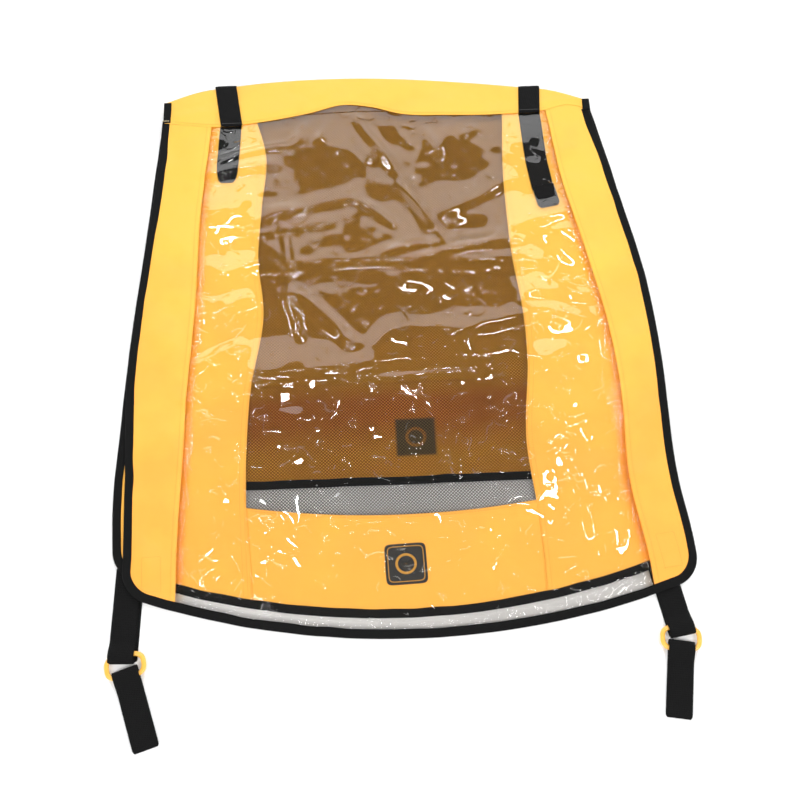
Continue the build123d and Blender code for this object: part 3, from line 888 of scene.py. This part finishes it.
def side_panel(side, edge, corner_y, inner, low):
    """Plan grid of a layer's side cloth, between the outline and the curve of its inner edge."""
    outer = stretch_of(edge, (side * seam_half, 0), (side * full_half, corner_y))
    under = stretch_of(edge, (side * full_half, corner_y), low)
    top = straight((side * seam_half, 0), (float(inner(np.array([0.0]))[0, 0]), 0))
    if side < 0:
        return between(top, under, outer, inner, 3.4)
    return between(reverse(top), reverse(under), inner, outer, 3.4)


def window_edge(side):
    """The mesh window's edge on one side, x as a function of y."""
    wander = window_left if side < 0 else window_right
    return lambda y: side * mesh_half + wander(y)


def window_low(grow):
    """The mesh window's bowed lower edge, as a function of 0 to 1."""
    return lambda t: np.column_stack(
        [-mesh_half - 2 + (2 * mesh_half + 3) * t, mesh_bottom - grow - mesh_bow * (1 - (2 * t - 1) ** 2)]
    )


def screen_plans(edge, corner_y):
    """Plan grids of the mesh, the bottom band and the two side cloths."""
    left, right = window_edge(-1), window_edge(1)
    tuck = 8
    window = between(
        straight((left(0) - tuck, 0), (right(0) + tuck, 0)),
        window_low(9.0),
        curve_x(lambda y: left(y) - tuck, 0, mesh_bottom - 9),
        curve_x(lambda y: right(y) + tuck, 0, mesh_bottom - 9),
        3.2,
    )
    band_low = stretch_of(edge, (-mesh_half, -screen_length + 14), (mesh_half, -screen_length + 14))
    ends = band_low(np.array([0.0, 1.0]))
    band_left = straight((-mesh_half - 2, mesh_bottom), ends[0])
    band = between(window_low(0.0), band_low, band_left, straight((mesh_half + 1, mesh_bottom), ends[1]), 3.2)
    panels = []
    for (side, _), inner_x, low in zip(SIDES, (left, right), ends):
        y = np.linspace(0, mesh_bottom, 90)
        line = np.vstack([np.column_stack([inner_x(y), y]), [low + (0, 40)], [low]])
        inner = stretch_of(evenly(line, 2.0), (inner_x(0), 0), low)
        panels.append(side_panel(side, edge, corner_y, inner, low))
    return window, band, *panels


def build_screen():
    outline, corner_y = layer_edge(screen_length)
    window, band, left, right = screen_plans(inset(outline), corner_y)
    cloth = (thickness["cloth"], yellow_screen_painted_light)
    for name, plan, lift, (thick, material), node, slot in (
        ("screen_net", window, -0.35, (thickness["mesh"], net), "screen_mesh", "black_mesh"),
        ("screen_bottom_cloth", band, 0.0, cloth, "screen_bottom_band", "yellow_fabric"),
        ("screen_side_cloth_left", left, 0.12, cloth, "screen_side_panel_left", "yellow_fabric"),
        ("screen_side_cloth_right", right, 0.12, cloth, "screen_side_panel_right", "yellow_fabric"),
    ):
        laid = screen_place(to_seam(plan, 3.0))
        piece = slab(name, laid, at(screen_height, laid) + lift, thick, material)
        assign(piece, slot, node)
        hang(piece)
        declare(plan)
    binding = tape_along("screen_tape", screen_place(to_seam(outline, 3.0)), screen_height, 61)
    assign(binding, "black_tape", "screen_binding")
    hang(binding)


def build_screen_stitching():
    """Topstitching beside the window and along the bottom band."""
    y = np.linspace(-8, mesh_bottom - 90, 200)
    rows = []
    for side, hand in SIDES:
        for off in (2.0, 6.5):
            line = np.column_stack([window_edge(side)(y) + side * off, y])
            rows.append((f"screen_stitch_{hand}_{off:.0f}", line))
    x = np.linspace(-mesh_half + 2, mesh_half - 2, 120)
    bowed = mesh_bottom - 3.0 - mesh_bow * (1 - (x / mesh_half) ** 2)
    rows.append(("screen_stitch_band", np.column_stack([x, bowed])))
    for name, line in rows:
        laid = screen_place(to_seam(line, 3.0))
        piece = stitches(name, on_surface(laid, screen_height, 0.42), thread_yellow, 3.0, 2.0, 0.16)
        assign(piece, "yellow_fabric")
        hang(piece)


def film_seam(side):
    """The seam between the film and a side cloth, x as a function of y."""
    border = border_left if side < 0 else border_right
    return lambda y: side * (side_x(y) - border(y))


def seam_end(side, edge):
    """Where the film's seam on one side reaches the layer's bottom edge."""
    y = np.linspace(0, -rain_length, 400)[200:]
    line = np.column_stack([film_seam(side)(y), y])
    gap = ((line[:, None, :] - edge[None]) ** 2).sum(-1)
    return edge[int(np.argmin(gap)) % len(edge)]


def build_film(edge):
    left, right = film_seam(-1), film_seam(1)
    low_left, low_right = seam_end(-1, edge), seam_end(1, edge)
    window = between(
        straight((left(0), 0), (right(0), 0)),
        stretch_of(edge, low_left, low_right),
        curve_x(left, 0, low_left[1]),
        curve_x(right, 0, low_right[1]),
        2.7,
    )
    laid = rain_place(to_seam(window, 2.0, film_top))
    x, y = laid[..., 0], laid[..., 1]
    flat_y = window[..., 1]
    left_x, right_x = (rain_place(np.stack([f(flat_y), flat_y], -1))[..., 0] for f in (left, right))
    near = 1 - smooth((np.minimum(x - left_x, right_x - x) - 5.0) / 4.0)
    near_top = 1 - smooth((seam_y(x) - y - 3.0) / 6.0)
    deep_in = depth_inside(x, y, rain_length, 4.0)
    near_low = (1 - smooth((deep_in - 13.0) / 8.0)) * smooth((-y - 520) / 30.0)
    gathered = np.maximum(near, 0.8 * np.maximum(near_top, near_low))
    height = rain_height(x, y) + 1.8 * gathered * puckers(x, y) - 0.3
    piece = slab("rain_film", laid, height, thickness["film"], film)
    # lower_edge drives the film's puckers and its painted grey shade near the lower end.
    for label, values in (("seam", near), ("lower_edge", near_low)):
        layer = piece.data.attributes.new(label, "FLOAT", "POINT")
        layer.data.foreach_set("value", np.tile(values.ravel(), 2).astype(np.float32))
    assign(piece, "clear_vinyl", "rain_window")
    hang(piece)
    declare(window)


def build_arch_film():
    """Strip of film sewn below the band where its seam arches back, which stays with the band."""
    rows, cols = 9, 61
    x = np.linspace(-100, 20, cols)
    top = np.maximum(seam_y(x) + 2.0, film_top + 0.2)
    y = top + (film_top - 1.2 - top) * np.linspace(0, 1, rows)[:, None]
    plan = np.stack([np.broadcast_to(x, (rows, cols)), y], -1)
    near_top = 1 - smooth((seam_y(x) - y - 3.0) / 6.0)
    height = at(rain_height, plan) - 0.3 + 1.44 * near_top * at(puckers, plan)
    piece = slab("rain_film_arch", plan, height, thickness["film"], film)
    assign(piece, "clear_vinyl", body="header")
    declare(plan)


def build_rain_side(side, hand, edge, corner_y):
    low = seam_end(side, edge)
    plan = side_panel(side, edge, corner_y, curve_x(film_seam(side), 0, low[1]), low)
    laid = rain_place(to_seam(plan, 2.0))
    cloth = slab(f"rain_side_cloth_{hand}", laid, at(rain_height, laid) + 0.25, thickness["cloth"], yellow)
    assign(cloth, "yellow_fabric", f"rain_side_panel_{hand}")
    hang(cloth)
    declare(plan)
    y = np.linspace(-6, low[1] + 8, 240)
    row = rain_place(to_seam(np.column_stack([film_seam(side)(y) + side * 5.0, y]), 2.0))
    row = on_surface(row, rain_height, 0.55)
    thread = stitches(f"rain_stitch_{hand}", row, thread_yellow, 3.2, 2.2, 0.18)
    assign(thread, "yellow_fabric")
    hang(thread)


def build_hook_and_loop(side, hand):
    """Hook patch behind the rain layer's corner, its stitched rectangle, and the loop patch that it meets."""
    a, b, thick = 9.5, 17.5, 0.7
    degrees, shift, loop_shift = (2, (6.0, 0.0), 0.0) if side < 0 else (8, (7.0, -2.0), 9.0)
    askew = turned(math.radians(degrees))
    middle = sum(cad(f"hook_patch_{hand}"))[:2] / 2 + shift
    corners = np.array([(-a, -b), (a, -b), (a, b), (-a, b), (-a, -b)])
    row = on_surface(evenly(corners @ askew + middle, 1.5), rain_height, 0.55)
    thread = stitches(f"hook_stitch_{hand}", row, thread_yellow, 2.6, 1.8, 0.15)
    assign(thread, "yellow_fabric", body="rain_layer")
    grid = np.stack(np.meshgrid(np.linspace(-a, a, 9), np.linspace(b, -b, 14)), -1)
    plan = grid @ askew + middle
    hook = slab(f"hook_tape_{hand}", plan, at(rain_height, plan) - 0.7, thick, hooks)
    assign(hook, "hook_tape", f"hook_patch_{hand}", body="rain_layer")
    plan = screen_place(grid + sum(cad(f"loop_patch_{hand}"))[:2] / 2) + (loop_shift, 0.0)
    loop = slab(f"loop_tape_{hand}", plan, at(screen_height, plan) + 0.8, thick, hooks)
    assign(loop, "hook_tape", f"loop_patch_{hand}", body="screen_layer")


def build_rain():
    outline, corner_y = layer_edge(rain_length)
    edge = inset(outline)
    build_film(edge)
    for side, hand in SIDES:
        build_rain_side(side, hand, edge, corner_y)
        build_hook_and_loop(side, hand)
    binding = tape_along("rain_tape", rain_place(to_seam(outline, 2.0)), rain_height, 71)
    assign(binding, "black_tape", "rain_binding")
    hang(binding)


# ---------------------------------------------------------------- header and straps


def bend_header(piece):
    """For a piece that turns round the header's fold into the rear flap: bake its transform into its mesh."""
    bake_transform(piece)


def header_section(front, fold, top, radius, under=3.0):
    """Points in Y and Z from the front edge over the leaf, round the fold, and a little way back below."""
    turn_y = fold - radius
    leaf = np.column_stack([np.linspace(front, turn_y, 14), np.full(14, top)])
    angle = np.linspace(math.pi / 2, -math.pi / 2, 13)[1:]
    bend = np.column_stack([turn_y + radius * np.cos(angle), top - radius + radius * np.sin(angle)])
    back = np.column_stack([np.linspace(turn_y, turn_y - under, 4)[1:], np.full(3, top - 2 * radius)])
    return np.vstack([leaf, bend, back])


def leaf_waves(x, y):
    return 0.5 * noise(x, y, 55, 81) + 0.3 * noise(x, y, 20, 82)


def leaf_height(x, y):
    """The header's upper face, away from its larger creases."""
    return leaf_z + 0.4 + leaf_waves(x, y)


def arch_rise(x):
    """How much the band's front edge lifts where its seam arches back."""
    return 0.9 * np.exp(-(((x + 44) / 26) ** 2))


def build_header_cloth():
    x = np.linspace(-seam_half - 1.5, seam_half - 4.0, 190)
    radius = leaf_z - fold_z - 0.3
    folds = [max(float(fold_line(v)), seam_y(v) + 12) for v in x]
    columns = np.stack([header_section(seam_y(v) - 2.0, fold, leaf_z, radius) for v, fold in zip(x, folds)])
    y, z = columns[..., 0], columns[..., 1]
    xs = np.broadcast_to(x[:, None], y.shape)
    share = np.linspace(0, 1, y.shape[1])
    on_leaf = (z > leaf_z - 0.5) * smooth(share * 12) * smooth((0.55 - share) * 6)
    waves = leaf_waves(xs, y) + arch_rise(xs) * (1 - smooth(share * 3))
    for start, end, width, height in (
        ((-252, 4), (-150, 20), 5, 0.9),
        ((-40, 20), (-30, 54), 6, 0.6),
        ((190, 4), (250, 6), 4, 0.9),
    ):
        waves = waves + crease(xs, y, start, end, width, height)
    points = np.dstack([xs, y, z + on_leaf * (waves + 0.4)])
    # Outward normals from the grid, for an even thickness
    normal = np.cross(np.gradient(points, axis=0), np.gradient(points, axis=1))
    normal /= np.linalg.norm(normal, axis=2, keepdims=True)
    piece = closed_sheet("header_cloth", points, points - normal * thickness["cloth"], yellow)
    assign(piece, "yellow_fabric", "header_band")
    bend_header(piece)


def build_header_stitching():
    # Join across the band at its left end
    y = np.linspace(float(seam_y(-196)) + 3, float(fold_line(-193)) - 4, 40)
    line = np.column_stack([-196 + (y - y[0]) * 0.08, y])
    join = stitches("header_stitch_join", on_surface(line, leaf_height, 0.12), thread_yellow, 2.6, 1.8, 0.2)
    assign(join, "yellow_fabric", body="header")
    # Seam along the front edge
    x = np.linspace(-seam_half + 12, seam_half - 12, 260)
    row = np.column_stack([x, seam_y(x) + 1.2, leaf_z + 0.25 + arch_rise(x) * 0.9])
    seam = stitches("header_stitch_front", row, thread_yellow, 3.0, 2.0, 0.18)
    assign(seam, "yellow_fabric", body="header")


def build_header_ends():
    """Tape over each end of the header, and a pale tack across the left one."""
    for side, hand in SIDES:
        end_x = -seam_half - 3.0 if side < 0 else seam_half - 2.5
        front = float(seam_y(end_x)) - 2.2
        back = max(float(fold_line(end_x)) - 2.0, front + 16)
        line = np.column_stack([np.full(12, end_x), np.linspace(back, front, 12)])[::-side]
        piece = tape_along(f"header_end_tape_{hand}", line, leaf_height, 85 + side, step=2.0)
        assign(piece, "black_tape", f"header_end_binding_{hand}", body="header")
        if side < 0:
            tack = np.column_stack([np.linspace(end_x - 0.5, end_x + 6.5, 9), np.full(9, front + 2.6)])
            on_tape = on_surface(tack, leaf_height, 1.1)
            thread = stitches("header_end_tack", on_tape, thread_pale, 1.5, 1.7, 0.35)
            assign(thread, "black_tape", body="header")


def build_strap_front(hand, top_x, seam_x, front):
    """Webbing sewn over the header and round its fold, with a bar tack at the seam."""
    fold = float(fold_line(top_x))
    radius = leaf_z - fold_z + 1.1
    path = evenly(header_section(front, fold + 1.5, leaf_z + 1.4, radius, under=8.0), 1.2)
    share = np.clip((path[:, 0] - front) / (fold - front), 0, 1)
    path = np.column_stack([seam_x + (top_x - seam_x) * share, path])
    path[:, 2] = np.maximum(path[:, 2], thickness["webbing"] / 2 + 0.05)
    piece = ribbon(f"roll_webbing_front_{hand}", path, (1.0, 0.0), webbing_width, thickness["webbing"])
    assign(piece, "black_webbing", f"roll_strap_base_{hand}")
    bend_header(piece)
    x = np.linspace(seam_x - 11, seam_x + 11, 12)
    tack = np.column_stack([x, np.full(12, front + 3.0), np.full(12, leaf_z + 2.35)])
    thread = stitches(f"roll_tack_{hand}", tack, thread_grey, 2.0, 1.7, 0.22)
    assign(thread, "black_webbing", body="header")


def build_roll_straps():
    # For each side: x at the fold and at the seam, x and width going down the free end, and its stations
    left = (-184.0, -176.5, ([0, 62, 88], [-177, -181.5, -182.5]),
            ([0, 62, 76, 84, 88], [25.4, 25.4, 23.5, 20, 14]), 70)
    right = (182.0, 178.5, ([0, 78, 117], [178.5, 181, 185]), ([0, 117], [25.4, 25.4]), 80)
    for (_, hand), (top_x, seam_x, course, widths, stations) in zip(SIDES, (left, right)):
        front = float(seam_y(seam_x)) - 3.4
        build_strap_front(hand, top_x, seam_x, front)
        # The free end between the two layers
        y = np.linspace(front + 6, -course[0][-1], stations)
        x = np.interp(-y, *course)
        path = np.column_stack([x, y, np.minimum(screen_height(x, y) + 1.3, rain_height(x, y) - 1.3)])
        width = np.interp(-y, *widths)
        end = ribbon(f"roll_webbing_end_{hand}", path, (1.0, 0.0), width, thickness["webbing"])
        assign(end, "black_webbing", f"roll_strap_end_{hand}")
        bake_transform(end)


def build_strap_hem():
    """The right strap's folded hem, turned a little."""
    length, lean = 29, math.radians(10)
    s = np.linspace(0, length, 30)
    plan = np.array([185.0, -112.0]) + np.outer(s, [math.sin(lean), -math.cos(lean)])
    z = np.minimum(at(screen_height, plan) + 2.3, at(rain_height, plan) - 1.1)
    width = 25.4 - 5.0 * smooth((s - 25) / 4.0)
    across = (math.cos(lean), math.sin(lean))
    hem = ribbon("roll_webbing_hem_right", np.column_stack([plan, z]), across, width, 2.6)
    assign(hem, "black_webbing", body="roll_strap_right")


def loop_path(length, slack):
    """Doubled webbing in (along, up): out on the surface, round the ring's bar at length, and back on top."""
    low, doubled, rise_over = 0.8, 1.65, 15
    top = 2 * ring_z - low
    out = np.column_stack([np.linspace(0, length, 40), np.full(40, low)])
    angle = np.linspace(-math.pi / 2, math.pi / 2, 22)[1:-1]
    bend = np.column_stack([length + slack * np.cos(angle), ring_z + (ring_z - low) * np.sin(angle)])
    s = np.linspace(length, 0, 44)
    climb = smooth((s - (length - rise_over)) / rise_over)
    back = np.column_stack([s, low + doubled + (top - low - doubled) * climb])
    return evenly(np.vstack([out, bend, back]), 1.6)


def build_anchor_webbing(side, hand, start, bar, splay):
    """Doubled webbing from below the layers' corner to the ring's upper bar, its upper leaf splayed aside."""
    length = float(np.linalg.norm(bar - start))
    ahead = (bar - start) / length
    across = np.array([ahead[1], -ahead[0]])
    local = loop_path(length, 8.0)
    aside = splay * smooth((local[:, 1] - 1.4) / 0.8)
    plan = start + np.outer(local[:, 0], ahead) + np.outer(aside, across) * -side
    piece = ribbon(f"anchor_webbing_{hand}", np.column_stack([plan, local[:, 1]]), across, webbing_width, 1.4)
    assign(piece, "black_webbing", f"anchor_strap_{hand}", f"anchor_stub_{hand}")
    start, end = (0, bend_y * MM + 0.008, 0), (0, bend_y * MM - 0.008, 0)
    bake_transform(piece)
    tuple(start)
    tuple(end)


def build_ring(hand, centre, lean, half_gap):
    """Two straight bars joined by strongly bulging sides."""
    half_bar, wide, tall = 13.2, 2.45, 1.75
    turn = np.linspace(0, 2 * math.pi, 97)[:-1]
    circle = np.column_stack([np.cos(turn), np.sin(turn)])
    oval = np.sign(circle) * np.abs(circle) ** (0.62, 0.7) * (half_bar + 4.8, half_gap + 0.6)
    line = oval @ turned(lean) + centre
    ahead = directions(np.vstack([line[-2:], line, line[:2]]))[2:-2]
    out = np.column_stack([ahead[:, 1], -ahead[:, 0]])
    tube = []
    for a in np.linspace(0, 2 * math.pi, 15)[:-1]:
        height = np.full(96, ring_z + tall * math.sin(a))
        tube.append(np.column_stack([line + out * wide * math.cos(a), height]))
    ring = loft(f"oval_ring_{hand}", np.stack(tube, 1), plastic, closed_path=True)
    assign(ring, "ring_plastic", f"strap_ring_{hand}", body=f"ring_{hand}")


def build_pull_tab(hand, bar, tip):
    """Webbing looped on the ring's lower bar, its two ends sewn together at the tip."""
    length = float(np.linalg.norm(bar - tip))
    back = (bar - tip) / length
    local = loop_path(length, 7.5)
    path = np.column_stack([tip + np.outer(local[:, 0], back), local[:, 1]])
    width = webbing_width * (1.0 - 0.12 * np.exp(-local[:, 0] / 1.2))
    tab = ribbon(f"pull_webbing_{hand}", path, (back[1], -back[0]), width, 1.4)
    assign(tab, "black_webbing", f"pull_tab_{hand}", body=f"pull_tab_{hand}")


def build_anchor_straps():
    # For each side: where the webbing starts, the ring's upper bar, the tab's tip, the ring's lean, the splay
    left = ((-274.5, -543.0), (-278.5, -629.5), (-254.0, -719.0), 9, 2.6)
    right = ((255.5, -560.0), (267.0, -631.5), (253.0, -717.0), -6, 0.6)
    half_gap = 10.3
    for (side, hand), (start, bar, tip, degrees, splay) in zip(SIDES, (left, right)):
        lean = math.radians(degrees)
        down = np.array([math.sin(lean), -math.cos(lean)]) * half_gap
        build_anchor_webbing(side, hand, np.array(start), np.array(bar), splay)
        build_ring(hand, bar + down, lean, half_gap)
        build_pull_tab(hand, bar + 2 * down, np.array(tip))


# ---------------------------------------------------------------- stage, light and camera


def area_light(name, place, aim, size, radiance, tint=(1.0, 1.0, 1.0)):
    data = bpy.data.lights.new(name, "AREA")
    data.shape = "RECTANGLE"
    data.size, data.size_y = size
    data.energy = radiance * math.pi * size[0] * size[1]
    data.color = tint
    lamp = bpy.data.objects.new(name, data)
    lamp.location = place
    lamp.rotation_euler = (Vector(aim) - Vector(place)).to_track_quat("-Z", "Y").to_euler()
    bpy.context.scene.collection.objects.link(lamp)


def build_floor():
    size, z = 12.0, -0.0002
    mesh = bpy.data.meshes.new("floor")
    corners = [(-size, -size, z), (size, -size, z), (size, size, z), (-size, size, z)]
    mesh.from_pydata(corners, [], [(0, 1, 2, 3)])
    g = Graph("pale_floor")
    tone = g.colours(g.noise(900, 2.0), (0.955, 0.955, 0.955), (0.97, 0.97, 0.97))
    rough = g.between(g.noise(60), 0.8, 0.9)
    mesh.materials.append(g.surface(tone, rough, Specular_IOR_Level=0.1))
    floor = bpy.data.objects.new("floor", mesh)
    bpy.context.scene.collection.objects.link(floor)


def build_world():
    """Sky that is bright up to the horizon and dark above, so that the film's mirror image has contrast."""
    world = bpy.data.worlds.new("studio")
    bpy.context.scene.world = world
    world.use_nodes = True
    tree = world.node_tree
    back = tree.nodes["Background"]
    where = tree.nodes.new("ShaderNodeTexCoord")
    split = tree.nodes.new("ShaderNodeSeparateXYZ")
    tree.links.new(where.outputs["Generated"], split.inputs[0])
    span = tree.nodes.new("ShaderNodeMapRange")
    for socket, value in (("From Min", 0.42), ("From Max", 0.58), ("To Min", 1.5), ("To Max", 0.12)):
        span.inputs[socket].default_value = value
    tree.links.new(split.outputs["Z"], span.inputs["Value"])
    tree.links.new(span.outputs["Result"], back.inputs["Strength"])
    back.inputs["Color"].default_value = (1.0, 1.0, 1.0, 1.0)


def build_lights():
    """Softbox for the film's pale patches, two keys, and small strips for its glints."""
    middle = (0.0, -0.3, 0.0)
    area_light("back_softbox", (0.05, 1.62, 1.5), (0.05, 0.8, 0.0), (2.2, 1.3), 2.3, (0.97, 0.985, 1.0))
    area_light("front_left_key", (-1.15, -1.75, 1.7), middle, (0.5, 0.5), 28.0)
    area_light("front_right_key", (1.25, -1.6, 1.7), middle, (0.5, 0.5), 28.0)
    sparks = (
        ((-0.85, 0.25, 1.5), (0.03, 0.40)),
        ((0.80, -0.30, 1.6), (0.40, 0.03)),
        ((-0.55, -0.75, 1.7), (0.03, 0.30)),
        ((0.35, 0.55, 1.7), (0.35, 0.03)),
        ((-0.20, -1.30, 1.6), (0.40, 0.03)),
        ((0.95, 0.60, 1.4), (0.03, 0.40)),
        ((0.38, 0.04, 1.5), (0.05, 0.10)),
        ((-0.16, 0.27, 1.5), (0.14, 0.02)),
        ((-0.25, 0.07, 1.5), (0.03, 0.08)),
        ((0.12, 0.35, 1.6), (0.02, 0.12)),
        ((-0.42, 0.62, 1.5), (0.10, 0.02)),
    )
    for number, (place, size) in enumerate(sparks):
        area_light(f"spark_{number}", place, middle, size, 60.0)


def build_camera():
    data = bpy.data.cameras.new("camera")
    data.lens, data.sensor_width = 50.0, 36.0
    data.clip_start, data.clip_end = 0.05, 50.0
    camera = bpy.data.objects.new("camera", data)
    place, target = Vector((-0.0206, -0.8411, 1.0965)), Vector((0.0046, -0.3718, 0.0))
    back = (place - target).normalized()
    right = Vector((0.0536, 0.9986, 0.0)).cross(back).normalized()
    up = back.cross(right)
    turn = Matrix((right, up, back)).transposed().to_4x4()
    camera.matrix_world = Matrix.Translation(place) @ turn
    bpy.context.scene.collection.objects.link(camera)
    bpy.context.scene.camera = camera
    bpy.context.scene.view_settings.view_transform = "Standard"
    bpy.context.scene.cycles.transparent_max_bounces = 24


build_rear_flap()
emblem("rear_patch", rear_patch_place, rear_height, -1, "rear_flap", "rear_emblem")
build_screen()
build_screen_stitching()
emblem("screen_patch", np.array([1.0, -553.0]), screen_height, 1, "screen_layer", "screen_emblem")
build_rain()
build_arch_film()
build_header_cloth()
build_header_stitching()
build_header_ends()
build_roll_straps()
build_strap_hem()
build_anchor_straps()
build_floor()
build_world()
build_lights()
build_camera()

bpy.context.view_layer.update()
